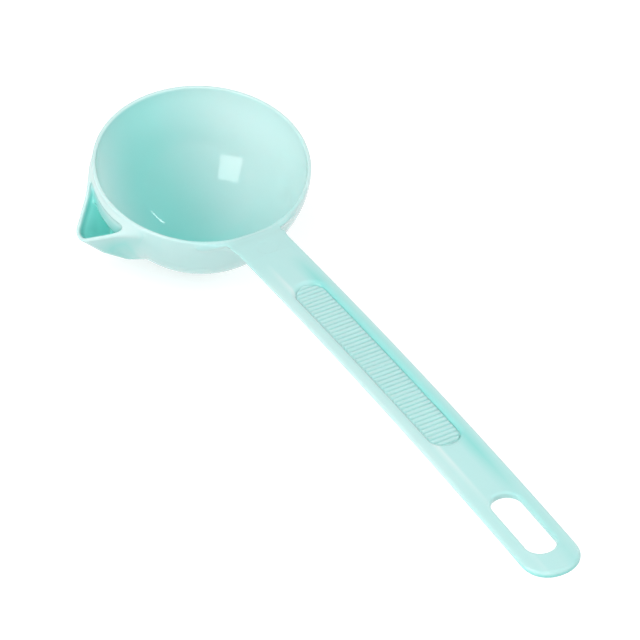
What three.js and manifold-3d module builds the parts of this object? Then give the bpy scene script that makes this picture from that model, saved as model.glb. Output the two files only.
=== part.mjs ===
// Fat separator ladle: a hemispherical bowl with a drain port low in its side, a pouring
// pocket over that port, a bowed handle with a hang slot, and a ribbed grip panel.
// Millimetres, +Z up. The origin is the middle of the flat foot under the bowl, the handle
// runs along +X and the pouring pocket is on -Y.
import * as THREE from 'three';
import { ConvexGeometry } from 'three/addons/geometries/ConvexGeometry.js';
import { mergeVertices } from 'three/addons/utils/BufferGeometryUtils.js';
import Module from 'manifold-3d';

const wasm = await Module();
wasm.setup();

// Fits shared by all pieces
const seamGap = 0.3;

// Bowl: a hemisphere under a straight rim bead, with a small flat foot
const bowlRadius = 44;
const bowlWall = 1.8;
const rimOverhang = 1;
const rimHeight = 2.4;
const rimRound = 0.9;
const footRadius = 7.5;
const portRadius = 4.5;

// Pouring pocket: the hull of four balls, cut open by a sloping lip plane; a ball's standOff
// is how far its middle lies beyond the bowl's outside radius
const pocketWall = 1.6;
const lipSlopeAngle = THREE.MathUtils.degToRad(42);
const noseBall = { radius: 5.6, standOff: 8.3, drop: 15.2 };
const shoulderBall = { radius: 4, standOff: -6.2, drop: 3.2, side: 16.6 };
const keelBall = { radius: 10, standOff: -12.1, drop: 28.7 };

// Handle: a plate with a crowned top, round edges and a belly that thins towards the tip; its
// reaches are measured from the outside of the rim
const handleHalfWidth = 11.8;
const tipSquareness = 2.2;
const handleCrown = 0.6;
const handleEdgeRound = 1.4;
const rootDepth = 7;
const tipDepth = 3.4;
const bellyEnd = 190;
const rootInset = 3;
const rootRise = 0.8;
const bowReach = 119;
const bowRise = 33;
const tipReach = 237.3;
const tipRise = 50.8;
const flareLength = 13;
const flareWidth = 6.5;

// Grip recess, hang slot and the ribbed panel, measured along the handle's centre line; the
// recess is placed from the handle's root and the slot from its tip
const recessStart = 46;
const recessLength = 117;
const recessHalfWidth = 6.2;
const recessDepth = 3;
const slotTipMargin = 11.37;
const slotLength = 36;
const slotHalfWidth = 6.1;
const panelThickness = 0.8;
const ribPitch = 2.44;
const ribRadius = 0.75;
const ribEndMargin = 0.9;

// Mesh fineness
const turnSegments = 80;
const bowlArcSteps = 18;
const rimArcSteps = 3;
const ballSegments = 28;
const ballRings = 18;
const portSegments = 32;
const ribSegments = 12;
const handleSteps = 40;
const handleTipSteps = 14;
const handleTopSteps = 8;
const handleEdgeSteps = 5;
const barSteps = 12;
const barEndSteps = 10;
const barEndHalfWidth = 0.02;

// Sizes that follow from the ones above
const bowlInside = bowlRadius - bowlWall;
const rimRadius = bowlRadius + rimOverhang;
const bowlDepth = rimHeight + Math.sqrt(bowlRadius ** 2 - footRadius ** 2);
const crownEdge = handleCrown + 2 * handleEdgeRound;
const centreLine = new THREE.QuadraticBezierCurve3(
  new THREE.Vector3(rimRadius - rootInset, 0, rootRise),
  new THREE.Vector3(rimRadius + bowReach, 0, bowRise),
  new THREE.Vector3(rimRadius + tipReach, 0, tipRise),
);
const handleLength = centreLine.getLength();
const slotMiddle = handleLength - slotTipMargin - slotLength / 2;
const cutReach = 2 * bowlRadius;

const mint = new THREE.MeshStandardMaterial({ color: 0xb4e6e2, roughness: 0.28, metalness: 0 });
const mintDeep = new THREE.MeshStandardMaterial({ color: 0x9fe0d8, roughness: 0.28, metalness: 0 });
const mintGrip = new THREE.MeshStandardMaterial({ color: 0xb9ebe7, roughness: 0.4, metalness: 0 });

// Turns a geometry into a solid that can be cut and joined.
function solidOf(geometry) {
  geometry.deleteAttribute('normal');
  geometry.deleteAttribute('uv');
  const merged = mergeVertices(geometry, 1e-4);
  const index = merged.index.array;
  const corners = [];
  for (let i = 0; i < index.length; i += 3) {
    const [a, b, c] = [index[i], index[i + 1], index[i + 2]];
    if (a !== b && b !== c && c !== a) {
      corners.push(a, b, c);
    }
  }
  const mesh = new wasm.Mesh({
    numProp: 3,
    vertProperties: new Float32Array(merged.attributes.position.array),
    triVerts: new Uint32Array(corners),
  });
  return new wasm.Manifold(mesh);
}

// Makes a named mesh from a finished solid.
function pieceOf(name, solid, material) {
  const raw = solid.getMesh();
  const geometry = new THREE.BufferGeometry();
  geometry.setAttribute('position', new THREE.BufferAttribute(new Float32Array(raw.vertProperties), 3));
  geometry.setIndex(new THREE.BufferAttribute(new Uint32Array(raw.triVerts), 1));
  geometry.computeVertexNormals();
  const mesh = new THREE.Mesh(geometry, material);
  mesh.name = name;
  return mesh;
}

// Points of an arc about a middle at (radius, height).
function arc(radius, height, size, from, to, steps) {
  return Array.from({ length: steps + 1 }, (_, i) => {
    const turn = THREE.MathUtils.lerp(from, to, i / steps);
    return new THREE.Vector2(radius + size * Math.cos(turn), height + size * Math.sin(turn));
  });
}

// Turns a profile of (radius, height) points about the Z axis.
function turned(profile) {
  return new THREE.LatheGeometry(profile, turnSegments).rotateX(Math.PI / 2);
}

// The outside of the bowl and its rim, grown by a gap; pieces that touch the bowl are cut with it.
function bowlEnvelope(gap) {
  const radius = bowlRadius + gap;
  return solidOf(turned([
    new THREE.Vector2(0, -rimHeight - radius),
    ...arc(0, -rimHeight, radius, -Math.PI / 2, -Math.asin(gap / radius), bowlArcSteps).slice(1),
    new THREE.Vector2(rimRadius + gap, -rimHeight - gap),
    new THREE.Vector2(rimRadius + gap, cutReach),
    new THREE.Vector2(0, cutReach),
  ]));
}

// Joins a row of matching closed loops into one body with flat ends.
function loft(loops) {
  const count = loops[0].length;
  const middle = (loop) => loop.reduce((sum, p) => sum.add(p), new THREE.Vector3()).divideScalar(count);
  const points = [...loops.flat(), middle(loops[0]), middle(loops[loops.length - 1])];
  const index = [];
  for (let j = 0; j < count; j += 1) {
    const next = (j + 1) % count;
    for (let i = 0; i < loops.length - 1; i += 1) {
      const near = i * count;
      const far = near + count;
      index.push(near + j, near + next, far + j, near + next, far + next, far + j);
    }
    const last = (loops.length - 1) * count;
    index.push(points.length - 2, next, j, points.length - 1, last + j, last + next);
  }
  const geometry = new THREE.BufferGeometry().setFromPoints(points);
  geometry.setIndex(index);
  return geometry;
}

// A point on the handle: along its centre line, sideways, and above its top.
function onHandle(along, side, above) {
  const part = THREE.MathUtils.clamp(along / handleLength, 0, 1);
  const tangent = centreLine.getTangentAt(part);
  const up = new THREE.Vector3(-tangent.z, 0, tangent.x);
  const point = centreLine.getPointAt(part);
  return point.addScaledVector(up, above).add(new THREE.Vector3(0, side, 0));
}

// Half the handle's width: flared at the bowl, straight, then a full round end at the tip.
function handleHalfWidthAt(along) {
  const toTip = handleLength - along;
  if (toTip < handleHalfWidth) {
    const inset = 1 - toTip / handleHalfWidth;
    return handleHalfWidth * Math.max(1 - inset ** tipSquareness, 0) ** (1 / tipSquareness);
  }
  const flare = Math.max(1 - along / flareLength, 0);
  return handleHalfWidth + flareWidth * flare ** 2;
}

// The handle's outline across its length, shrunk towards its mid height where the tip rounds off.
function handleLoop(along) {
  const half = handleHalfWidthAt(along);
  const depth = THREE.MathUtils.lerp(rootDepth, tipDepth, Math.min(along / bellyEnd, 1));
  const round = Math.min(handleEdgeRound, half);
  const flat = half - round;
  const nearTip = THREE.MathUtils.clamp((handleLength - along) / handleEdgeRound, 0, 1);
  const thin = Math.sqrt(1 - (1 - nearTip) ** 2);
  const middle = -handleCrown - handleEdgeRound;
  const loop = [];
  const add = (side, above) => loop.push(onHandle(along, side, middle + (above - middle) * thin));
  for (let i = 0; i <= handleTopSteps; i += 1) {
    const across = 1 - (2 * i) / handleTopSteps;
    add(flat * across, -handleCrown * across ** 2);
  }
  for (let i = 1; i < handleEdgeSteps; i += 1) {
    const turn = (Math.PI * i) / handleEdgeSteps;
    add(-flat - round * Math.sin(turn), middle + handleEdgeRound * Math.cos(turn));
  }
  for (let i = 0; i <= handleTopSteps; i += 1) {
    const across = (2 * i) / handleTopSteps - 1;
    add(flat * across, -depth + (depth - crownEdge) * across ** 2);
  }
  for (let i = 1; i < handleEdgeSteps; i += 1) {
    const turn = (Math.PI * i) / handleEdgeSteps;
    add(flat + round * Math.sin(turn), middle - handleEdgeRound * Math.cos(turn));
  }
  return loop;
}

// Places along a stretch, closer together towards a rounded far end.
function stations(start, end, roundedLength, straightSteps, roundSteps) {
  const list = [];
  const straightEnd = end - roundedLength;
  for (let i = 0; i < straightSteps; i += 1) {
    list.push(THREE.MathUtils.lerp(start, straightEnd, i / straightSteps));
  }
  for (let i = 0; i <= roundSteps; i += 1) {
    list.push(straightEnd + roundedLength * Math.sin((Math.PI / 2) * (i / roundSteps)));
  }
  return list;
}

// A bar with half round ends that follows the handle's top, between two heights.
function roundEndedBar(middle, length, halfWidth, low, high) {
  const start = middle - length / 2;
  const outward = stations(middle, middle + length / 2, halfWidth, barSteps, barEndSteps);
  const inward = outward.slice(1).reverse().map((along) => 2 * middle - along);
  const loops = [...inward, ...outward].map((along) => {
    const fromEnd = Math.min(along - start, start + length - along);
    const inset = Math.max(halfWidth - fromEnd, 0);
    const half = Math.max(Math.sqrt(Math.max(halfWidth ** 2 - inset ** 2, 0)), barEndHalfWidth);
    const corners = [[half, high], [-half, high], [-half, low], [half, low]];
    return corners.map(([side, above]) => onHandle(along, side, above));
  });
  return solidOf(loft(loops));
}

// The hull of the pouring pocket's balls, each shrunk by the same amount.
function pocketHull(shrink) {
  const balls = [
    [0, noseBall],
    [shoulderBall.side, shoulderBall],
    [-shoulderBall.side, shoulderBall],
    [0, keelBall],
  ];
  const points = balls.flatMap(([side, ball]) => {
    const sphere = new THREE.SphereGeometry(ball.radius - shrink, ballSegments, ballRings);
    sphere.translate(side, -bowlRadius - ball.standOff, -ball.drop);
    const position = sphere.attributes.position;
    const corner = (_, i) => new THREE.Vector3().fromBufferAttribute(position, i);
    return Array.from({ length: position.count }, corner);
  });
  return solidOf(new ConvexGeometry(points));
}

// Everything above the pocket's sloping lip.
function aboveLip() {
  const block = new THREE.BoxGeometry(cutReach, cutReach, cutReach).translate(0, 0, cutReach / 2);
  block.rotateX(lipSlopeAngle);
  block.translate(0, -bowlRadius - noseBall.standOff, -noseBall.drop);
  return solidOf(block);
}

function buildBowl() {
  const quarter = Math.PI / 2;
  const footTurn = Math.asin(footRadius / bowlRadius) - quarter;
  const cup = turned([
    new THREE.Vector2(0, -bowlDepth),
    ...arc(0, -rimHeight, bowlRadius, footTurn, 0, bowlArcSteps),
    new THREE.Vector2(rimRadius, -rimHeight),
    ...arc(rimRadius - rimRound, -rimRound, rimRound, 0, quarter, rimArcSteps),
    ...arc(bowlInside + rimRound, -rimRound, rimRound, quarter, 2 * quarter, rimArcSteps),
    ...arc(0, -rimHeight, bowlInside, 0, -quarter, bowlArcSteps).slice(0, -1),
    new THREE.Vector2(0, -rimHeight - bowlInside),
  ]);
  const port = new THREE.CylinderGeometry(portRadius, portRadius, 2 * bowlRadius, portSegments);
  port.translate(0, bowlRadius, 0);
  const keelMiddle = new THREE.Vector3(0, -bowlRadius - keelBall.standOff, rimHeight - keelBall.drop);
  const outward = keelMiddle.normalize();
  port.applyQuaternion(new THREE.Quaternion().setFromUnitVectors(new THREE.Vector3(0, 1, 0), outward));
  port.translate(0, 0, -rimHeight);
  return solidOf(cup).subtract(solidOf(port));
}

function buildPocket() {
  const shell = pocketHull(0).subtract(pocketHull(pocketWall));
  return shell.subtract(aboveLip()).subtract(bowlEnvelope(seamGap));
}

function buildHandle() {
  const places = stations(0, handleLength, handleHalfWidth, handleSteps, handleTipSteps);
  const beam = solidOf(loft(places.map(handleLoop)));
  const recessMiddle = recessStart + recessLength / 2;
  const recess = roundEndedBar(recessMiddle, recessLength, recessHalfWidth, -recessDepth, recessDepth);
  const slot = roundEndedBar(slotMiddle, slotLength, slotHalfWidth, -2 * rootDepth, rootDepth);
  return beam.subtract(recess).subtract(slot).subtract(bowlEnvelope(seamGap));
}

function buildPanel() {
  const middle = recessStart + recessLength / 2;
  const length = recessLength - 2 * seamGap;
  const half = recessHalfWidth - seamGap;
  const ribReach = half - ribEndMargin;
  const low = seamGap - recessDepth;
  const high = low + panelThickness;
  let panel = roundEndedBar(middle, length, half, low, high);
  const ribSteps = Math.floor(length / (2 * ribPitch) - 1);
  for (let i = -ribSteps; i <= ribSteps; i += 1) {
    const inset = Math.max(Math.abs(i * ribPitch) + half - length / 2, 0);
    const reach = Math.sqrt(ribReach ** 2 - inset ** 2);
    const rib = new THREE.CylinderGeometry(ribRadius, ribRadius, 2 * reach, ribSegments);
    const place = onHandle(middle + i * ribPitch, 0, high);
    rib.translate(place.x, 0, place.z);
    panel = panel.add(solidOf(rib));
  }
  return panel;
}

const ladle = new THREE.Group();
ladle.name = 'fat_separator_ladle';
ladle.add(pieceOf('bowl', buildBowl(), mint));
ladle.add(pieceOf('pouring_pocket', buildPocket(), mintDeep));
ladle.add(pieceOf('handle', buildHandle(), mint));
ladle.add(pieceOf('grip_panel', buildPanel(), mintGrip));
ladle.position.z = bowlDepth;
ladle.updateMatrixWorld(true);

export default ladle;
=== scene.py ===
"""Looks of the fat separator ladle: a seamless mint moulding with a ribbed grip panel.

Sizes are in millimetres with the rim plane at height 0, as in the part's drawing, and are
turned into metres and lifted onto the bowl's foot when a mesh is made.
"""

import logging
import math
from dataclasses import asdict, dataclass, field, fields
from enum import Enum
from functools import cache
from typing import Callable

import bpy
import numpy as np
from bpy.types import ID, Material, Node, NodeSocket, NodeTree, Object
from mathutils import Matrix, Vector


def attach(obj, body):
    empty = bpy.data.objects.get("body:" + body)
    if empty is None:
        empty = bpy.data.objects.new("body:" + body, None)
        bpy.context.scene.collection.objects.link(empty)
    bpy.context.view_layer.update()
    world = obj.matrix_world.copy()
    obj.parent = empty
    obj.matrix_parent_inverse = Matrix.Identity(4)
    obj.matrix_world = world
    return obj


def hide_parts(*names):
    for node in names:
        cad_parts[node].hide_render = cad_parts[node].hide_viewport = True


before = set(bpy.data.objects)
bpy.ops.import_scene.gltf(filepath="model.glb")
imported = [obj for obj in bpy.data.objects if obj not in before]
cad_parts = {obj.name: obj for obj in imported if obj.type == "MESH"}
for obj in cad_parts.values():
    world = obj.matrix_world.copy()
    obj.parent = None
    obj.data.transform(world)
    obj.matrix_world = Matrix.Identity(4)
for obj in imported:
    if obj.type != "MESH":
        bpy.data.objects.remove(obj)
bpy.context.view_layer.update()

LOG = logging.getLogger("ladle")
MM = 0.001
# Name of the points' attribute that holds painted light, shade and glow
SHADE = "shade"
PLASTIC_IOR = 1.49
# Too far to matter, in millimetres
FAR = 30.0
# Least length to divide by
TINY = 1e-9
# How near to a wall's surface a place lies on it, as a share of the wall
SKIN_SHARE = 0.25

Points = np.ndarray
Values = np.ndarray
Field = Callable[[Points], Values]
Pair = tuple[float, float]
Triple = tuple[float, float, float]
Colour = Triple
Knots = tuple[float, ...]

# Corners of a tetrahedron, at which a field is probed for its slope
PROBES = np.array([[1, -1, -1], [-1, -1, 1], [-1, 1, -1], [1, 1, 1]], float)


class Slot(Enum):
    """The record's material slots."""

    MOULDING = "mint_plastic"
    GRIP = "grip_plastic"


class Socket(Enum):
    """Kinds of sockets on a node group."""

    COLOUR = "NodeSocketColor"
    VALUE = "NodeSocketFloat"


@dataclass(frozen=True)
class MirroredLamp:
    """A lamp that only shows as a mirror image, in millimetres of the drawing's frame."""

    name: str
    at: Triple
    wide: Triple
    tall: Triple
    power: float


@dataclass(frozen=True)
class FillPanel:
    """A broad lamp that faces the ladle, in metres, and isn't mirrored in it."""

    name: str
    direction: Triple
    power: float
    distance: float = 1.2
    width: float = 0.7
    height: float = 0.7


def filleted_union(a: Values, b: Values, radius: float | Values) -> Values:
    """Joins two solids, given as signed distances, with a round fillet between them."""
    reach = np.hypot(np.maximum(radius - a, 0.0), np.maximum(radius - b, 0.0))
    return np.maximum(radius, np.minimum(a, b)) - reach


def rounded_overlap(a: Values, b: Values, radius: float | Values) -> Values:
    """Keeps what two solids share, with an edge of the radius where they meet."""
    return -filleted_union(-a, -b, radius)


def unit(values: Values) -> Values:
    """Values held between 0 and 1."""
    return np.clip(values, 0.0, 1.0)


def directions(vectors: Values) -> Values:
    """Vectors brought to a length of 1."""
    return vectors / np.maximum(np.linalg.norm(vectors, axis=1), TINY)[:, None]


def stadium(along: Values, side: Values, half_length: float, half_width: float) -> Values:
    """Signed distances in plan to an outline with straight sides and half round ends."""
    past = np.maximum(np.abs(along) - (half_length - half_width), 0.0)
    return np.hypot(past, side) - half_width


@dataclass
class Bowl:
    """The hemispherical bowl with its thin rim, flat foot and drain port."""

    radius: float = 44.0
    wall: float = 1.8
    rim_overhang: float = 1.0
    rim_height: float = 2.4
    rim_wall: float = 1.5
    rim_round: float = 0.6
    flare_height: float = 18.0
    foot_radius: float = 7.5
    foot_round: float = 1.2
    port_radius: float = 4.5
    port_round: float = 0.6
    port_direction: Triple = (0.0, -31.9, -26.3)

    @property
    def depth(self) -> float:
        """Height of the rim above the foot."""
        return self.rim_height + math.sqrt(self.radius**2 - self.foot_radius**2)

    def ball(self, points: Points, radius: float) -> Values:
        """Signed distances to a hemisphere that goes on upwards as a cylinder."""
        below = np.minimum(points[:, 2] + self.rim_height, 0.0)
        return np.sqrt(points[:, 0] ** 2 + points[:, 1] ** 2 + below**2) - radius

    def flare(self, height: Values) -> Values:
        """How far the wall leans out: 0 low on the bowl, 1 at the rim."""
        risen = height + self.rim_height + self.flare_height
        share = unit(risen / self.flare_height)
        return share**2 * (3 - 2 * share)

    def skin(self, points: Points) -> Values:
        """Signed distances to the round of the bowl, without its foot and rim."""
        return self.ball(points, self.radius) - self.rim_overhang * self.flare(points[:, 2])

    def outside(self, points: Points) -> Values:
        """Signed distances to the bowl as if it were full."""
        height = points[:, 2]
        full = rounded_overlap(self.skin(points), -height - self.depth, self.foot_round)
        return rounded_overlap(full, height, self.rim_round)

    def inside(self, points: Points) -> Values:
        """Signed distances to the bowl's hollow, which widens to a thin rim."""
        thinning = self.wall + self.rim_overhang - self.rim_wall
        return self.ball(points, self.radius - self.wall) - thinning * self.flare(points[:, 2])

    def port(self, points: Points) -> Values:
        """Signed distances to the short round passage through the wall.

        Args:
            points: Places in the drawing.

        Returns:
            Signed distances.
        """
        axis = np.array(self.port_direction) / np.linalg.norm(self.port_direction)
        from_middle = points + np.array([0.0, 0.0, self.rim_height])
        along = from_middle @ axis
        across = np.linalg.norm(from_middle - along[:, None] * axis, axis=1)
        half = self.wall * 2
        return np.maximum(across - self.port_radius, np.abs(along - self.radius) - half)


@dataclass
class PouringPocket:
    """The pouring pocket: the hull of five balls, cut open by a sloping lip."""

    wall: float = 1.6
    lip_round: float = 0.75
    corner_fillet: float = 1.6
    back_heights: Knots = (-25.0, -14.0)
    back_radii: Knots = (38.0, 44.5)
    lip_slope: float = math.radians(42.0)
    nose: Triple = (0.0, -52.3, -15.2)
    balls: tuple[tuple[float, float, float, float], ...] = (
        (0.0, -52.3, -15.2, 5.6),
        (16.6, -37.8, -3.2, 4.0),
        (-16.6, -37.8, -3.2, 4.0),
        (0.0, -31.9, -28.7, 10.0),
        (0.0, -41.0, -23.3, 8.6),
    )
    room: float = 9.0

    def hull(self, points: Points) -> Values:
        """Exact signed distances to the hull of the balls.

        The distance is the greatest, over all directions, of the least height above the
        balls' tangent planes; the best direction belongs to one, two or three balls.

        Args:
            points: Places in the drawing.

        Returns:
            Signed distances, or a large value far from the pocket.
        """
        found = np.full(len(points), FAR)
        data = np.array(self.balls)
        low = (data[:, :3] - data[:, 3:]).min(0) - self.room
        high = (data[:, :3] + data[:, 3:]).max(0) + self.room
        near = np.all((points > low) & (points < high), axis=1)
        if not near.any():
            return found
        here = points[near]
        middles, radii = data[:, :3], data[:, 3]
        offsets = here[:, None, :] - middles[None, :, :]
        best = np.full(len(here), -np.inf)

        def consider(direction: Values) -> None:
            """Keeps the better of the distances so far and this direction's."""
            heights = np.einsum("pij,pj->pi", offsets, direction) - radii
            np.maximum(best, heights.min(1), out=best)

        for i in range(len(data)):
            away = offsets[:, i]
            consider(directions(away))
            for j in range(i + 1, len(data)):
                consider(self._pair(away, middles[j] - middles[i], radii[i] - radii[j]))
                for k in range(j + 1, len(data)):
                    for side in (1.0, -1.0):
                        flat = self._triple(middles[[i, j, k]], radii[[i, j, k]], side)
                        consider(np.broadcast_to(flat, here.shape))
        found[near] = best
        return found

    @staticmethod
    def _pair(offset: Values, span: Values, drop: float) -> Values:
        """Direction square to the cone that wraps two balls.

        Args:
            offset: Places seen from the first ball's middle.
            span: The second ball's middle seen from the first.
            drop: How much smaller the second ball is.

        Returns:
            One unit direction for each place.
        """
        length = np.linalg.norm(span)
        axis = span / length
        lean = drop / length
        across = directions(offset - (offset @ axis)[:, None] * axis)
        return lean * axis + math.sqrt(1.0 - lean**2) * across

    @staticmethod
    def _triple(middles: Values, radii: Values, side: float) -> Values:
        """Direction square to the plane that rests on three balls.

        Args:
            middles: The three balls' middles.
            radii: Their radii.
            side: 1 or -1 for the two sides of the balls.

        Returns:
            One unit direction.
        """
        spans = middles[1:] - middles[0]
        drops = radii[0] - radii[1:]
        flat = np.linalg.lstsq(spans, drops, rcond=None)[0]
        normal = np.cross(spans[0], spans[1])
        normal /= np.linalg.norm(normal)
        rest = math.sqrt(max(1.0 - flat @ flat, 0.0))
        return flat + side * rest * normal

    def back(self, points: Points) -> Values:
        """How far places lie behind the hollow's upright back wall, negative in the hollow."""
        reach = np.interp(points[:, 2], self.back_heights, self.back_radii)
        return reach - np.hypot(points[:, 0], points[:, 1])

    def above_lip(self, points: Points) -> Values:
        """Heights above the sloping plane of the lip."""
        rise = points - np.array(self.nose)
        return math.cos(self.lip_slope) * rise[:, 2] - math.sin(self.lip_slope) * rise[:, 1]


@dataclass
class Handle:
    """The bowed handle: a crowned plate with a belly, a grip recess and a hang slot."""

    half_width: float = 11.8
    tip_squareness: float = 2.2
    crown: float = 0.6
    edge_round: float = 1.35
    root_depth: float = 7.0
    tip_depth: float = 3.4
    belly_end: float = 190.0
    root: Pair = (42.0, 0.8)
    bow: Pair = (164.0, 33.0)
    tip: Pair = (282.3, 50.8)
    flare_length: float = 13.0
    flare_width: float = 6.5
    root_end: float = -3.5
    root_dip: float = 1.62
    root_dip_length: float = 10.6
    recess_middle: float = 104.5
    recess_half_length: float = 58.5
    recess_half_width: float = 6.2
    recess_depth: float = 3.0
    recess_edge: float = 2.5
    recess_corner: float = 0.5
    slot_tip_margin: float = 11.37
    slot_half_length: float = 18.0
    slot_half_width: float = 6.1
    slot_edge: float = 1.1
    mark_along: float = 15.0
    mark_radius: float = 4.5
    mark_depth: float = 0.1
    mark_blend: float = 0.6
    across_limit: float = 1.2
    root_room: float = 14.0
    line_range: Pair = (-0.15, 1.15)
    line_points: int = 2601
    measured_range: Pair = (-0.14, 1.14)
    measuring_rounds: int = 3
    shares: Values = field(init=False, repr=False)
    lengths: Values = field(init=False, repr=False)

    def __post_init__(self) -> None:
        """Measures the bowed centre line once."""
        self.shares = np.linspace(*self.line_range, self.line_points)
        line = self.at_share(self.shares)
        steps = np.hypot(*np.diff(line, axis=0).T)
        lengths = np.concatenate([[0.0], np.cumsum(steps)])
        self.lengths = lengths - np.interp(0.0, self.shares, lengths)

    @property
    def controls(self) -> list[Values]:
        """The three points that steer the centre line."""
        return [np.array(place) for place in (self.root, self.bow, self.tip)]

    @property
    def length(self) -> float:
        """Length of the centre line."""
        return float(np.interp(1.0, self.shares, self.lengths))

    def at_share(self, share: Values) -> Values:
        """Points (reach, height) of the centre line at shares of its own parameter."""
        a, b, c = self.controls
        t = share[:, None]
        return (1 - t) ** 2 * a + 2 * t * (1 - t) * b + t**2 * c

    def heading(self, share: Values) -> Values:
        """Slope vectors of the centre line at the given shares."""
        a, b, c = self.controls
        t = share[:, None]
        return 2 * (1 - t) * (b - a) + 2 * t * (c - b)

    def place(self, along: Values, side: Values, above: Values) -> Points:
        """Places on the handle, as points of the drawing's frame.

        Args:
            along: Lengths along the centre line.
            side: Places across the handle.
            above: Heights above its top.

        Returns:
            Points in the drawing's frame.
        """
        share = np.interp(along, self.lengths, self.shares)
        base, slope = self.at_share(share), directions(self.heading(share))
        reach = base[:, 0] - slope[:, 1] * above
        return np.stack([reach, side, base[:, 1] + slope[:, 0] * above], axis=1)

    def measure(self, points: Points) -> tuple[Values, Values, Values]:
        """Where points lie on the handle.

        Args:
            points: Places in the drawing.

        Returns:
            Lengths along the centre line, places across it, and heights above it.
        """
        flat = points[:, [0, 2]]
        share = (points[:, 0] - self.root[0]) / (self.tip[0] - self.root[0])
        share = np.clip(share, *self.measured_range)
        for _ in range(self.measuring_rounds):
            slope = self.heading(share)
            off = flat - self.at_share(share)
            share = share + np.sum(off * slope, 1) / np.sum(slope**2, 1)
            share = np.clip(share, *self.measured_range)
        slope = directions(self.heading(share))
        off = flat - self.at_share(share)
        above = slope[:, 0] * off[:, 1] - slope[:, 1] * off[:, 0]
        past = np.sum(off * slope, 1)
        return np.interp(share, self.shares, self.lengths) + past, points[:, 1], above

    def outline(self, along: Values, side: Values) -> Values:
        """Distance to the handle's outline seen from above.

        Args:
            along: Lengths along the centre line.
            side: Places across it.

        Returns:
            Signed distances in plan.
        """
        flare = np.maximum(1 - along / self.flare_length, 0.0)
        half = self.half_width + self.flare_width * flare**2
        lean = 2 * self.flare_width * flare / self.flare_length
        straight = (np.abs(side) - half) / np.sqrt(1 + lean**2)
        past = np.maximum(along - (self.length - self.half_width), 0.0)
        power = self.tip_squareness
        tip = (past**power + np.abs(side) ** power) ** (1 / power) - self.half_width
        return np.where(past > 0, tip, np.maximum(straight, self.root_end - along))

    def across(self, side: Values) -> Values:
        """Places across the handle as shares of its flat half width."""
        return np.minimum(np.abs(side) / (self.half_width - self.edge_round), self.across_limit)

    def over_top(self, along: Values, side: Values, above: Values) -> Values:
        """Heights over the crowned top, which dips at the rim and has a faint round mark.

        Args:
            along: Lengths along the centre line.
            side: Places across it.
            above: Heights above it.

        Returns:
            Signed heights.
        """
        dip = self.root_dip * np.maximum(1 - along / self.root_dip_length, 0.0) ** 2
        from_mark = np.hypot(along - self.mark_along, side)
        within = (self.mark_radius - from_mark) / self.mark_blend + 0.5
        mark = self.mark_depth * unit(within)
        return above + dip + mark + self.crown * self.across(side) ** 2

    def near(self, points: Points) -> Values:
        """Which places are near enough to the handle to be measured on it."""
        return points[:, 0] > self.root[0] - self.root_room

    def lid(self, points: Points) -> Values:
        """Heights over the top, or a large value away from the handle.

        Args:
            points: Places in the drawing.

        Returns:
            Signed heights.
        """
        found = np.full(len(points), FAR)
        near = self.near(points)
        if near.any():
            found[near] = self.over_top(*self.measure(points[near]))
        return found

    def solid(self, points: Points) -> Values:
        """Signed distances to the handle with its recess and slot.

        Args:
            points: Places in the drawing.

        Returns:
            Signed distances, or a large value far from the handle.
        """
        found = np.full(len(points), FAR)
        near = self.near(points)
        if not near.any():
            return found
        along, side, above = self.measure(points[near])
        across = self.across(side)
        top = self.over_top(along, side, above)
        depth = np.interp(along, [0, self.belly_end], [self.root_depth, self.tip_depth])
        belly = depth - self.crown - 2 * self.edge_round
        lean = 2 * belly * across / (self.half_width - self.edge_round)
        bottom = (-above - depth + belly * across**2) / np.sqrt(1 + lean**2)
        plan = self.outline(along, side)
        body = rounded_overlap(top, plan, self.edge_round)
        body = rounded_overlap(body, bottom, self.edge_round)
        from_middle = along - self.recess_middle
        recess = stadium(from_middle, side, self.recess_half_length, self.recess_half_width)
        recess = rounded_overlap(recess, -above - self.recess_depth, self.recess_corner)
        body = rounded_overlap(body, -recess, self.recess_edge)
        middle = self.length - self.slot_tip_margin - self.slot_half_length
        slot = stadium(along - middle, side, self.slot_half_length, self.slot_half_width)
        found[near] = rounded_overlap(body, -slot, self.slot_edge)
        return found


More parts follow.
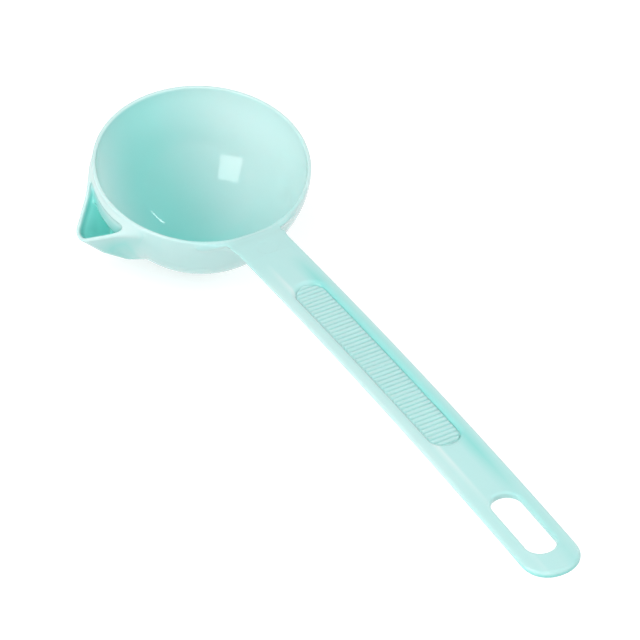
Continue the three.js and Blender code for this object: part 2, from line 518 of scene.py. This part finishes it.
@dataclass
class SurfaceNet:
    """Turns a signed distance field into an even mesh of quads."""

    solid: Field
    low: Triple
    high: Triple
    pitch: float = 0.6
    block: int = 6
    chunk: int = 300000
    probe: float = 0.02
    least_slope: float = 0.2
    near_share: float = 1.1
    first_rounds: int = 3
    relaxed_rounds: int = 2

    def sample(self, points: Points) -> Values:
        """The field's values, worked out in chunks."""
        starts = range(0, len(points), self.chunk)
        return np.concatenate([self.solid(points[i : i + self.chunk]) for i in starts])

    def slope(self, points: Points) -> tuple[Values, Values]:
        """The field, and its gradient as a vector for each place."""
        values = np.stack([self.sample(points + self.probe * c) for c in PROBES], axis=1)
        return values.mean(1), values @ PROBES / (len(PROBES) * self.probe)

    def settle(self, points: Points, rounds: int) -> Points:
        """Moves points onto the surface, along the gradient.

        Args:
            points: Places near the surface.
            rounds: How many steps to take.

        Returns:
            Places on the surface.
        """
        for _ in range(rounds):
            value, gradient = self.slope(points)
            step = value / np.maximum(np.sum(gradient**2, 1), self.least_slope)
            points = points - np.clip(step, -self.pitch, self.pitch)[:, None] * gradient
        return points

    def values(self) -> Values:
        """The field on a grid, worked out finely only in blocks near the surface.

        Returns:
            A grid of signed distances.
        """
        low, high = np.array(self.low), np.array(self.high)
        blocks = np.ceil((high - low) / (self.pitch * self.block)).astype(int)
        middles = [
            low[axis] + (np.arange(blocks[axis]) + 0.5) * self.block * self.pitch
            for axis in range(3)
        ]
        places = np.stack(np.meshgrid(*middles, indexing="ij"), -1).reshape(-1, 3)
        coarse = self.sample(places).reshape(blocks)
        grid = coarse.astype(np.float32)
        near = np.abs(coarse) < self.block * self.pitch * self.near_share
        for axis in range(3):
            grid = grid.repeat(self.block, axis)
            near = near.repeat(self.block, axis)
        for axis in range(3):
            near = near | np.roll(near, 1, axis)
        cells = np.argwhere(near)
        grid[near] = self.sample(low + cells * self.pitch)
        return grid

    def build(self) -> tuple[Points, Values, Values]:
        """Makes the mesh.

        Returns:
            Points, quads of point numbers, and one normal for each point.
        """
        grid = self.values()
        shape = np.array(grid.shape)
        inside = grid < 0
        quads = []
        for axis in range(3):
            u, v = (axis + 1) % 3, (axis + 2) % 3
            first = np.take(inside, range(shape[axis] - 1), axis)
            second = np.take(inside, range(1, shape[axis]), axis)
            edges = np.argwhere(first != second)
            edges = edges[(edges[:, u] > 0) & (edges[:, v] > 0)]
            outward = first[tuple(edges.T)]
            ring = []
            for du, dv in ((0, 0), (1, 0), (1, 1), (0, 1)):
                cell = edges.copy()
                cell[:, u] -= du
                cell[:, v] -= dv
                ring.append(np.ravel_multi_index(cell.T, shape))
            ring = np.stack(ring, axis=1)
            quads.append(np.where(outward[:, None], ring, ring[:, ::-1]))
        cells, quads = np.unique(np.concatenate(quads), return_inverse=True)
        quads = quads.reshape(-1, 4)
        steps = np.stack(np.unravel_index(cells, shape), 1) + 0.5
        points = self.settle(np.array(self.low) + steps * self.pitch, self.first_rounds)
        for _ in range(self.relaxed_rounds):
            points = self.settle(self.relaxed(points, quads), 1)
        points = self.settle(points, 1)
        return points, quads, directions(self.slope(points)[1])

    @staticmethod
    def relaxed(points: Points, quads: Values) -> Points:
        """Points moved halfway to the middle of their neighbours.

        Args:
            points: The mesh's points.
            quads: Its quads.

        Returns:
            The moved points.
        """
        a = np.concatenate([quads[:, i] for i in range(4)])
        b = np.concatenate([quads[:, (i + 1) % 4] for i in range(4)])
        count = np.bincount(a, minlength=len(points))
        total = np.stack([np.bincount(a, points[b, k], len(points)) for k in range(3)], 1)
        return 0.5 * points + 0.5 * total / np.maximum(count, 1)[:, None]


def linked(name: str, data: ID) -> Object:
    """Makes an object of a mesh, a lamp or a camera, and links it to the scene."""
    made = bpy.data.objects.new(name, data)
    bpy.context.scene.collection.objects.link(made)
    return made


def mesh_object(name: str, points: Points, faces: Values, lift: float) -> Object:
    """Makes a smooth Blender mesh from points in the drawing's frame.

    Args:
        name: The piece's name.
        points: Points in millimetres.
        faces: Faces as rows of point numbers.
        lift: Height of the rim plane above the foot.

    Returns:
        The new object, linked to the scene.
    """
    mesh = bpy.data.meshes.new(name)
    placed = (points + np.array([0.0, 0.0, lift])) * MM
    mesh.from_pydata(placed.tolist(), [], faces.tolist())
    mesh.shade_smooth()
    return linked(name, mesh)


class NodeSheet:
    """A small helper that adds and links shader nodes."""

    # Numbers of a colour Mix node's sockets, which share their names with other kinds
    MIX_SHARE, MIX_FIRST, MIX_SECOND, MIX_RESULT = 0, 6, 7, 2

    def __init__(self, tree: NodeTree) -> None:
        """Starts on an empty tree."""
        self.tree = tree
        self.tree.nodes.clear()

    def add(self, kind: str, **settings: object) -> Node:
        """Adds a node and sets its properties and inputs.

        Args:
            kind: The node's type name.
            settings: Node properties by name, or input values by socket name.

        Returns:
            The new node.
        """
        node = self.tree.nodes.new(kind)
        for name, value in settings.items():
            if hasattr(node, name):
                setattr(node, name, value)
            else:
                self.put(node, name.replace("_", " "), value)
        return node

    def put(self, node: Node, socket: str | int, value: object) -> None:
        """Sets an input to a value, or links it to an output.

        Args:
            node: The node to change.
            socket: The input's name or number.
            value: A constant, or another node's output.
        """
        if isinstance(value, NodeSocket):
            self.tree.links.new(value, node.inputs[socket])
        else:
            node.inputs[socket].default_value = value

    def maths(self, operation: str, *values: object) -> NodeSocket:
        """Adds a Math node.

        Args:
            operation: What it does.
            values: Its inputs in order.

        Returns:
            The result.
        """
        node = self.add("ShaderNodeMath", operation=operation)
        for i, value in enumerate(values):
            self.put(node, i, value)
        return node.outputs[0]

    def blend(self, share: object, first: object, second: object) -> NodeSocket:
        """Mixes two colours.

        Args:
            share: How much of the second colour to use.
            first: The first colour.
            second: The second colour.

        Returns:
            The mixed colour.
        """
        node = self.add("ShaderNodeMix", data_type="RGBA")
        self.put(node, self.MIX_SHARE, share)
        self.put(node, self.MIX_FIRST, first)
        self.put(node, self.MIX_SECOND, second)
        return node.outputs[self.MIX_RESULT]

    def noise(self, place: NodeSocket, scale: float, detail: float) -> NodeSocket:
        """Adds a Noise Texture and gives its value."""
        node = self.add("ShaderNodeTexNoise", Vector=place, Scale=scale, Detail=detail)
        return node.outputs["Fac"]

    def seen(self) -> NodeSocket:
        """1 for rays straight from the camera or by way of a mirror or glass, else 0."""
        path = self.add("ShaderNodeLightPath").outputs
        straight = self.maths("MAXIMUM", path["Is Camera Ray"], path["Is Glossy Ray"])
        return self.maths("MAXIMUM", straight, path["Is Transmission Ray"])


@dataclass(frozen=True)
class Pigments:
    """A plastic's own two colours, and the colours of its painted light, shade and glow."""

    plain: Colour
    deep: Colour
    # Painted shade
    trapped: Colour
    # Painted glow
    glowing: Colour
    # Painted light, pale as on highlights and lit places
    pale: Colour = (0.68, 0.86, 0.845)


class EffectGroup:
    """Builds the node groups that the finishes share, each only once."""

    CLOUD_SHARE = 0.65
    STREAK_SHARE = 0.35
    STREAK_STRETCH = (9.0, 60.0, 60.0)
    GLOSS_SPREAD = 0.03

    @staticmethod
    def started(name: str, inputs: dict[str, Socket], outputs: dict[str, Socket]) -> NodeSheet:
        """Starts a node group.

        Args:
            name: The group's name.
            inputs: Its inputs, each with its kind.
            outputs: Its outputs, each with its kind.

        Returns:
            A sheet for the group's nodes.
        """
        tree = bpy.data.node_groups.new(name, "ShaderNodeTree")
        for way, sockets in (("INPUT", inputs), ("OUTPUT", outputs)):
            for socket, kind in sockets.items():
                tree.interface.new_socket(socket, in_out=way, socket_type=kind.value)
        return NodeSheet(tree)

    @classmethod
    @cache
    def tone(cls) -> NodeTree:
        """Slow drift of pigment through the moulding, with faint flow streaks.

        The shade paints light and shade: from -1, painted light that makes the pigment pale,
        over 0, the plain pigment, to 1, painted shade, and on to 2, a painted glow.

        Returns:
            A group with a Colour and a Roughness output.
        """
        names = [pigment.name.title() for pigment in fields(Pigments)]
        inputs = dict.fromkeys(names, Socket.COLOUR)
        inputs |= dict.fromkeys(("Drift", "Gloss", "Shade"), Socket.VALUE)
        outputs = {"Colour": Socket.COLOUR, "Roughness": Socket.VALUE}
        sheet = cls.started("moulding_tone", inputs, outputs)
        given = sheet.add("NodeGroupInput").outputs
        shade = given["Shade"]
        place = sheet.add("ShaderNodeTexCoord").outputs["Object"]
        cloud = sheet.noise(place, scale=24.0, detail=2.0)
        mapping = sheet.add("ShaderNodeMapping", Vector=place, Scale=cls.STREAK_STRETCH)
        streak = sheet.noise(mapping.outputs[0], scale=2.0, detail=3.0)
        mixed = sheet.maths(
            "ADD",
            sheet.maths("MULTIPLY", cloud, cls.CLOUD_SHARE),
            sheet.maths("MULTIPLY", streak, cls.STREAK_SHARE),
        )
        drift = sheet.maths("MULTIPLY", mixed, given["Drift"])
        colour = sheet.blend(drift, given["Plain"], given["Deep"])
        # Painted light, painted shade and painted glow, by the shade
        colour = sheet.blend(sheet.maths("MULTIPLY", shade, -1.0), colour, given["Pale"])
        colour = sheet.blend(shade, colour, given["Trapped"])
        beyond = sheet.maths("SUBTRACT", shade, 1.0)
        colour = sheet.blend(beyond, colour, given["Glowing"])
        fine = sheet.noise(place, scale=160.0, detail=4.0)
        spread = sheet.maths("MULTIPLY_ADD", fine, cls.GLOSS_SPREAD, -cls.GLOSS_SPREAD / 2)
        roughness = sheet.maths("ADD", given["Gloss"], spread)
        sheet.add("NodeGroupOutput", Colour=colour, Roughness=roughness)
        return sheet.tree

    @classmethod
    @cache
    def skin(cls) -> NodeTree:
        """The fine uneven skin of a polished mould: long ripples and a fine grain.

        Returns:
            A group with a Height output.
        """
        inputs = dict.fromkeys(("Ripple", "Grain"), Socket.VALUE)
        sheet = cls.started("moulding_skin", inputs, {"Height": Socket.VALUE})
        given = sheet.add("NodeGroupInput").outputs
        place = sheet.add("ShaderNodeTexCoord").outputs["Object"]
        ripple = sheet.noise(place, scale=70.0, detail=1.0)
        grain = sheet.noise(place, scale=900.0, detail=2.0)
        height = sheet.maths("MULTIPLY", ripple, given["Ripple"])
        height = sheet.maths("MULTIPLY_ADD", grain, given["Grain"], height)
        sheet.add("NodeGroupOutput", Height=height)
        return sheet.tree


@dataclass(frozen=True)
class MouldedPlastic:
    """A slightly translucent moulded plastic in one colour, with painted light, shade and glow."""

    name: str
    pigments: Pigments
    gloss: float
    ripple: float
    grain: float
    glow: float
    glow_reach: Triple
    glow_depth: float = 0.0015
    drift: float = 0.5
    bump: float = 0.00004

    def material(self) -> Material:
        """Builds the material.

        Returns:
            A node material.
        """
        made = bpy.data.materials.new(self.name)
        made.use_nodes = True
        sheet = NodeSheet(made.node_tree)
        # Each point's painted light and shade
        shade = sheet.add("ShaderNodeAttribute", attribute_name=SHADE)
        tone = sheet.add(
            "ShaderNodeGroup",
            node_tree=EffectGroup.tone(),
            Shade=shade.outputs["Fac"],
            Drift=self.drift,
            Gloss=self.gloss,
        )
        for name, colour in asdict(self.pigments).items():
            sheet.put(tone, name.title(), (*colour, 1.0))
        skin = sheet.add(
            "ShaderNodeGroup", node_tree=EffectGroup.skin(), Ripple=self.ripple, Grain=self.grain
        )
        bump = sheet.add(
            "ShaderNodeBump", Strength=1.0, Distance=self.bump, Height=skin.outputs["Height"]
        )
        shader = sheet.add(
            "ShaderNodeBsdfPrincipled",
            Base_Color=tone.outputs["Colour"],
            Roughness=tone.outputs["Roughness"],
            Normal=bump.outputs["Normal"],
            IOR=PLASTIC_IOR,
            Subsurface_Weight=self.glow,
            Subsurface_Radius=self.glow_reach,
            Subsurface_Scale=self.glow_depth,
        )
        sheet.add("ShaderNodeOutputMaterial", Surface=shader.outputs["BSDF"])
        return made

    def dress(self, piece: Object, shade: Values) -> None:
        """Gives a piece its material and the painted light and shade at each of its points."""
        mask = piece.data.attributes.new(SHADE, "FLOAT", "POINT")
        mask.data.foreach_set("value", shade.astype(np.float32))
        piece.data.materials.append(self.material())


@dataclass
class Moulding:
    """The one-piece moulding of bowl, pouring pocket and handle."""

    bowl: Bowl
    pocket: PouringPocket
    handle: Handle
    net_low: Triple = (-47.0, -59.5, -47.5)
    net_high: Triple = (285.0, 47.0, 53.0)
    pocket_fillet: float = 5.0
    root_fillet: float = 4.0
    root_blend: float = 1.0
    root_run: Knots = (27.0, 36.0, 52.0, 62.0)
    root_rounds: Knots = (0.0, 0.8, 0.8, 0.0)
    # Shades paint colour: -1 painted light, 0 plain, 1 painted shade, 2 painted glow;
    # reaches and runs are millimetres
    pocket_shade: float = 2.0
    trap_edge: float = 0.6
    trap_depth: float = 5.0
    back_depth: float = 10.0
    valley_reach: float = 12.0
    valley_shade: float = 2.4
    valley_edge: float = 2.5
    shade_level: float = 0.44
    shade_axis: Triple = (-0.26, 1.43, 0.42)
    shade_bow: float = 2.3
    shade_turn: float = 2.2
    front_heights: Knots = (-30.0, -6.0)
    front_shades: Knots = (0.3, -0.3)
    edge_reach: float = 1.6
    edge_shade: float = -0.7
    edge_fade: float = 9.0
    lip_reach: float = 4.0
    under_depth: float = 0.9
    under_run: Knots = (-24.0, -6.0)
    under_shades: Knots = (0.0, 1.0)
    rail_run: Knots = (25.0, 45.0, 172.0, 198.0)
    rail_strengths: Knots = (0.0, 1.0, 1.0, 0.3)
    rail_places: Knots = (-11.6, -8.0, -5.8, -4.8, 1.5, 6.3, 10.3, 11.6)
    rail_shades: Knots = (-0.5, -0.2, -0.9, 0.0, 0.0, 0.9, 0.0, -0.7)
    finish: MouldedPlastic = MouldedPlastic(
        name="mint_moulding",
        pigments=Pigments(
            plain=(0.50, 0.80, 0.78),
            deep=(0.43, 0.765, 0.745),
            # Colours of the painted shade and the painted glow
            trapped=(0.26, 0.73, 0.685),
            glowing=(0.46, 0.99, 0.94),
        ),
        gloss=0.06,
        ripple=1.0,
        grain=0.04,
        glow=0.12,
        glow_reach=(0.3, 1.0, 0.9),
    )

    def solid(self, points: Points) -> Values:
        """Signed distances to the whole moulding.

        Args:
            points: Places in the drawing.

        Returns:
            Signed distances.
        """
        bowl, pocket = self.bowl, self.pocket
        full = bowl.outside(points)
        hull = pocket.hull(points)
        spout = rounded_overlap(hull, pocket.above_lip(points), pocket.lip_round)
        body = filleted_union(full, spout, self.pocket_fillet)
        body = filleted_union(body, self.handle.solid(points), self.root_fillet)
        root_round = np.interp(points[:, 0], self.root_run, self.root_rounds)
        top = filleted_union(points[:, 2], self.handle.lid(points), self.root_blend)
        body = rounded_overlap(body, top, root_round)
        body = rounded_overlap(body, -bowl.inside(points), bowl.rim_round)
        back = np.maximum(pocket.back(points), -bowl.skin(points))
        hollow = rounded_overlap(hull + pocket.wall, back, pocket.corner_fillet)
        body = rounded_overlap(body, -hollow, pocket.lip_round)
        return rounded_overlap(body, -bowl.port(points), bowl.port_round)

    def in_pocket(self, points: Points) -> Values:
        """How deep places lie in the pouring pocket, where a bright glow is painted.

        Args:
            points: The mesh's points.

        Returns:
            Shares from 0 on the open outside to 1 down in the pocket.
        """
        pocket = self.pocket
        off_wall = pocket.hull(points) + pocket.wall
        within = unit(1.0 - off_wall / self.trap_edge)
        back = unit(1.0 + pocket.back(points) / self.trap_edge)
        reach = self.trap_depth + (self.back_depth - self.trap_depth) * back
        below = unit(-pocket.above_lip(points) / reach) ** (1.0 + back)
        beyond = self.bowl.ball(points, self.bowl.radius) > -self.bowl.wall * SKIN_SHARE
        return within * below * beyond

    def in_valley(self, points: Points) -> Values:
        """How far places lie on the pocket's side of the valley between it and the bowl.

        Args:
            points: The mesh's points.

        Returns:
            Shares of painted shade, from 0 in the open to 1 at the bottom of the valley.
        """
        hull, ball = self.pocket.hull(points), self.bowl.ball(points, self.bowl.radius)
        near = unit(1.0 - hull / self.valley_reach)
        near *= unit(1.0 - ball / self.valley_reach)
        below = unit(-self.pocket.above_lip(points) / self.valley_reach)
        off_bowl = unit(ball / self.valley_edge)
        return near * below * off_bowl * (hull > -self.pocket.wall * SKIN_SHARE)

    def in_bowl(self, points: Points) -> Values:
        """Painted light and shade on the bowl's inside, darkest low on the pocket's side.

        Args:
            points: The mesh's points.

        Returns:
            Shares from -1, painted light, to 1, painted shade, and 0 elsewhere.
        """
        from_middle = points + np.array([0.0, 0.0, self.bowl.rim_height])
        inward = -directions(from_middle)
        side = inward[:, 1]
        depth = self.shade_level + inward @ np.array(self.shade_axis)
        depth -= self.shade_bow * side**2 + self.shade_turn * side**3
        inside = self.bowl.inside(points) < self.bowl.rim_wall * SKIN_SHARE
        return np.clip(depth, -1.0, 1.0) * inside

    def on_front(self, points: Points) -> Values:
        """Painted light near the rim and shade lower down on the bowl's outside, 0 elsewhere."""
        outside = np.abs(self.bowl.skin(points)) < self.bowl.rim_wall * SKIN_SHARE
        return np.interp(points[:, 2], self.front_heights, self.front_shades) * outside

    def on_edges(self, points: Points) -> Values:
        """The thin edges of the rim and the lip, where a pale highlight is painted.

        Args:
            points: The mesh's points.

        Returns:
            Shares from 0 off the edges to 1 on them.
        """
        along, side, _ = self.handle.measure(points)
        off_handle = unit(self.handle.outline(along, side) / self.edge_fade)
        rim = unit(1.0 + points[:, 2] / self.edge_reach) * off_handle
        lip = unit(1.0 + self.pocket.above_lip(points) / self.edge_reach)
        near_lip = unit(1.0 - self.pocket.hull(points) / self.lip_reach)
        return np.maximum(rim, lip * near_lip)

    def on_handle(self, points: Points) -> Values:
        """Painted light and shade on the handle, darkest along its far rail and low near its tip.

        Args:
            points: The mesh's points.

        Returns:
            Shares from -1, painted light, to 1, painted shade, and 0 elsewhere.
        """
        along, side, above = self.handle.measure(points)
        rails = np.interp(side, self.rail_places, self.rail_shades)
        rails *= np.interp(along, self.rail_run, self.rail_strengths)
        from_edge = self.handle.outline(along, side) + self.edge_reach
        edge = unit(from_edge / self.edge_reach)
        under = edge * unit((-above - self.under_depth) / self.under_depth)
        under *= np.interp(along - self.handle.length, self.under_run, self.under_shades)
        return rails * (1 - under) + under

    def build(self) -> Object:
        """Makes the moulding's mesh and dresses it.

        Returns:
            The finished piece.
        """
        points, quads, normals = SurfaceNet(self.solid, self.net_low, self.net_high).build()
        piece = mesh_object("moulding", points, quads, self.bowl.depth)
        piece.data.normals_split_custom_set_from_vertices(normals.tolist())
        # Paints a glow in the pocket, shade in the valley, light and shade on bowl and handle
        pocket, valley = self.in_pocket(points), self.in_valley(points)
        caught = pocket * self.pocket_shade + np.minimum(valley * self.valley_shade, 1.0)
        front = self.on_front(points) * (1 - np.maximum(pocket, valley))
        shade = caught + front + self.in_bowl(points) + self.on_handle(points)
        # Paints pale highlights on the thin edges
        edges = self.on_edges(points)
        self.finish.dress(piece, shade * (1 - edges) + edges * self.edge_shade)
        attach(piece, "root")
        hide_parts("bowl", "pouring_pocket", "handle")
        return piece


@dataclass
class GripPanel:
    """The ribbed panel in the handle's recess."""

    handle: Handle
    lift: float
    gap: float = 0.3
    side_gap: float = -0.12
    thickness: float = 0.8
    rib_pitch: float = 2.44
    rib_half: float = 0.92
    rib_height: float = 0.75
    rib_margin: float = 0.2
    rib_end: float = 0.8
    least_half: float = 0.02
    end_crowding: float = 0.04
    crease: float = math.radians(50.0)
    # Painted shade in the grooves between the ribs, none on their crests
    groove_shade: float = 0.35
    crest_shade: float = 0.0
    along_steps: int = 930
    side_steps: int = 36
    finish: MouldedPlastic = MouldedPlastic(
        name="mint_grip",
        pigments=Pigments(
            plain=(0.54, 0.79, 0.775),
            deep=(0.46, 0.745, 0.725),
            # Colour of the painted shade in the grooves
            trapped=(0.30, 0.66, 0.63),
            glowing=(0.47, 0.79, 0.77),
        ),
        gloss=0.3,
        ripple=0.4,
        grain=0.2,
        glow=0.25,
        glow_reach=(0.25, 1.0, 0.9),
    )

    def heights(self, along: Values, side: Values, half: Values) -> Values:
        """Rib heights over the panel's flat.

        Args:
            along: Places along the panel from its middle.
            side: Places across it.
            half: Half the panel's width there.

        Returns:
            Heights above the flat.
        """
        from_rib = along - self.rib_pitch * np.round(along / self.rib_pitch)
        share = np.minimum(np.abs(from_rib) / self.rib_half, 1.0)
        room = unit((half - self.rib_margin - np.abs(side)) / self.rib_end)
        return self.rib_height * np.sqrt(1 - share**2) * np.sqrt(1 - (1 - room) ** 2)

    @staticmethod
    def faces(shape: tuple[int, int]) -> Values:
        """Quads of a closed slab between two like grids of points, one above the other.

        Args:
            shape: Rows and columns of each grid.

        Returns:
            Rows of four point numbers.
        """
        grid = np.arange(math.prod(shape)).reshape(shape)
        corners = [grid[:-1, :-1], grid[1:, :-1], grid[1:, 1:], grid[:-1, 1:]]
        upper = np.stack(corners, -1).reshape(-1, 4)
        loop = np.concatenate([grid[0, :], grid[1:, -1], grid[-1, -2::-1], grid[-2:0:-1, 0]])
        following = np.roll(loop, -1)
        skirt = np.stack([loop, following, following + grid.size, loop + grid.size], -1)
        return np.concatenate([upper, upper[:, ::-1] + grid.size, skirt])

    def build(self) -> Object:
        """Makes the panel's mesh and dresses it.

        Returns:
            The finished piece.
        """
        handle = self.handle
        half_length = handle.recess_half_length - self.side_gap
        half_width = handle.recess_half_width - self.side_gap
        turn = np.linspace(-1.0, 1.0, self.along_steps + 1)
        along = half_length * np.sin(turn * math.pi / 2) * self.end_crowding
        along += half_length * turn * (1 - self.end_crowding)
        past = np.maximum(np.abs(along) - (half_length - half_width), 0.0)
        half = np.sqrt(np.maximum(half_width**2 - past**2, self.least_half**2))
        across = np.sin(np.linspace(-1.0, 1.0, self.side_steps + 1) * math.pi / 2)
        side = half[:, None] * across[None, :]
        rows = np.broadcast_to(along[:, None], side.shape)
        ribs = self.heights(rows, side, np.broadcast_to(half[:, None], side.shape))
        under = -handle.recess_depth + self.gap
        layers = (under + self.thickness + ribs, np.full(side.shape, under))
        lengths = (rows + handle.recess_middle).ravel()
        places = [handle.place(lengths, side.ravel(), layer.ravel()) for layer in layers]
        piece = mesh_object("grip_ribs", np.concatenate(places), self.faces(side.shape), self.lift)
        piece.data.set_sharp_from_angle(angle=self.crease)
        # Paints shade into the grooves
        shades = (self.groove_shade, self.crest_shade)
        shade = np.interp(ribs.ravel() / self.rib_height, (0.0, 1.0), shades)
        self.finish.dress(piece, np.concatenate([shade, shade]))
        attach(piece, "root")
        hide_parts("grip_panel")
        return piece


@dataclass
class Studio:
    """A pale floor, two mirrored lamps, broad fill panels, a white surround and the camera."""

    lift: float
    floor_half: float = 3.0
    floor_drop: float = 0.0002
    floor_tone: float = 0.6
    fibre_tone: float = 0.99
    floor_lift: float = 0.62
    ambient: float = 0.45
    camera_at: Triple = (1110.45, -639.77, 1328.69)
    camera_right: Triple = (0.4782, 0.8763, 0.0588)
    camera_up: Triple = (-0.6715, 0.3216, 0.6676)
    camera_back: Triple = (0.5661, -0.3587, 0.7422)
    lens: float = 253.125
    sensor: float = 36.0
    clip_end: float = 50.0
    aim: Triple = (0.05, 0.0, 0.03)
    mirrored: tuple[MirroredLamp, ...] = (
        MirroredLamp(
            "softbox", (112.0, -400.0, 311.0), (198.0, 123.0, 72.0), (-138.0, 82.0, 205.0), 0.85
        ),
        MirroredLamp(
            "strip", (-56.0, 370.0, 270.0), (-127.0, -71.0, 66.0), (5.9, -4.2, 6.9), 0.07
        ),
    )
    panels: tuple[FillPanel, ...] = (
        FillPanel("high_panel", (0.1, -0.45, 0.88), 4.6),
        FillPanel("right_panel", (0.3, 0.8, 0.5), 4.6),
        FillPanel("left_panel", (-0.6, -0.6, 0.5), 2.6),
        FillPanel("front_panel", (0.6, -0.7, 0.4), 4.0),
        FillPanel("low_panel", (0.8, -0.55, 0.17), 1.6, width=0.5, height=0.3),
    )

    def floor(self) -> None:
        """Makes the floor, which looks white to the camera but keeps the shadow."""
        half = self.floor_half
        mesh = bpy.data.meshes.new("floor")
        corners = [(-half, -half), (half, -half), (half, half), (-half, half)]
        mesh.from_pydata([(x, y, -self.floor_drop) for x, y in corners], [], [(0, 1, 2, 3)])
        floor = linked("floor", mesh)
        made = bpy.data.materials.new("floor_paper")
        made.use_nodes = True
        sheet = NodeSheet(made.node_tree)
        place = sheet.add("ShaderNodeTexCoord").outputs["Object"]
        fibre = sheet.noise(place, scale=40.0, detail=3.0)
        tones = (self.floor_tone, self.fibre_tone * self.floor_tone)
        colour = sheet.blend(fibre, *((tone, tone, tone, 1.0) for tone in tones))
        paper = sheet.add("ShaderNodeBsdfDiffuse", Color=colour).outputs[0]
        strength = sheet.maths("MULTIPLY", sheet.seen(), self.floor_lift)
        glow = sheet.add("ShaderNodeEmission", Strength=strength).outputs[0]
        both = sheet.add("ShaderNodeAddShader")
        sheet.put(both, 0, paper)
        sheet.put(both, 1, glow)
        sheet.add("ShaderNodeOutputMaterial", Surface=both.outputs[0])
        mesh.materials.append(made)

    def world(self) -> None:
        """Lights the scene evenly and shows white to the camera and in reflections."""
        world = bpy.data.worlds.new("studio")
        world.use_nodes = True
        sheet = NodeSheet(world.node_tree)
        rest = 1.0 - self.ambient
        strength = sheet.maths("MULTIPLY_ADD", sheet.seen(), rest, self.ambient)
        glow = sheet.add("ShaderNodeBackground", Color=(1.0, 1.0, 1.0, 1.0), Strength=strength)
        sheet.add("ShaderNodeOutputWorld", Surface=glow.outputs[0])
        bpy.context.scene.world = world

    def lamp(self, name: str, at: Vector, wide: Vector, tall: Vector, power: float) -> Object:
        """Hangs a rectangular lamp.

        Args:
            name: The lamp's name.
            at: Where its middle hangs, in metres.
            wide: Its width, as a vector.
            tall: Its height, as a vector.
            power: Its power in watts.

        Returns:
            The lamp.
        """
        data = bpy.data.lights.new(name, "AREA")
        data.shape = "RECTANGLE"
        data.size, data.size_y = wide.length, tall.length
        data.energy = power
        across = wide.normalized()
        back = across.cross(tall).normalized()
        lamp = linked(name, data)
        lamp.matrix_world = self.placed(across, back.cross(across), back, at)
        return lamp

    def lights(self) -> None:
        """Hangs the lamps that the bowl mirrors, and broad panels that only fill."""
        for mirrored in self.mirrored:
            wide, tall = Vector(mirrored.wide) * MM, Vector(mirrored.tall) * MM
            lamp = self.lamp(mirrored.name, self.raised(mirrored.at), wide, tall, mirrored.power)
            lamp.visible_diffuse = False
        for panel in self.panels:
            back = Vector(panel.direction).normalized()
            across = Vector((0.0, 0.0, 1.0)).cross(back).normalized()
            wide, tall = across * panel.width, back.cross(across) * panel.height
            at = Vector(self.aim) + back * panel.distance
            lamp = self.lamp(panel.name, at, wide, tall, panel.power)
            lamp.visible_glossy = False

    @staticmethod
    def placed(right: Vector, up: Vector, back: Vector, at: Vector) -> Matrix:
        """A placing from a thing's own X, Y and Z axes and its place."""
        rows = [[right[i], up[i], back[i], at[i]] for i in range(3)]
        return Matrix(rows + [[0, 0, 0, 1]])

    def camera(self) -> None:
        """Places the camera at the photograph's viewing angle."""
        data = bpy.data.cameras.new("camera")
        data.lens = self.lens
        data.sensor_width = self.sensor
        data.clip_end = self.clip_end
        camera = linked("camera", data)
        turned = (self.camera_right, self.camera_up, self.camera_back)
        axes = [Vector(axis).normalized() for axis in turned]
        camera.matrix_world = self.placed(*axes, self.raised(self.camera_at))
        bpy.context.scene.camera = camera

    def raised(self, place: Triple) -> Vector:
        """A place of the drawing's frame, in metres above the floor."""
        return Vector((place[0], place[1], place[2] + self.lift)) * MM

    def build(self) -> None:
        """Sets up the floor, light and camera."""
        bpy.context.scene.view_settings.view_transform = "Standard"
        self.floor()
        self.world()
        self.lights()
        self.camera()


def main() -> None:
    """Builds the pieces in order, then the studio."""
    logging.basicConfig(level=logging.INFO, format="%(name)s: %(message)s")
    bowl, pocket, handle = Bowl(), PouringPocket(), Handle()
    for part in (Moulding(bowl, pocket, handle), GripPanel(handle, bowl.depth)):
        piece = part.build()
        LOG.info("%s: %d faces", piece.name, len(piece.data.polygons))
    Studio(bowl.depth).build()
    LOG.info("sizes written")


if __name__ == "__main__":
    main()
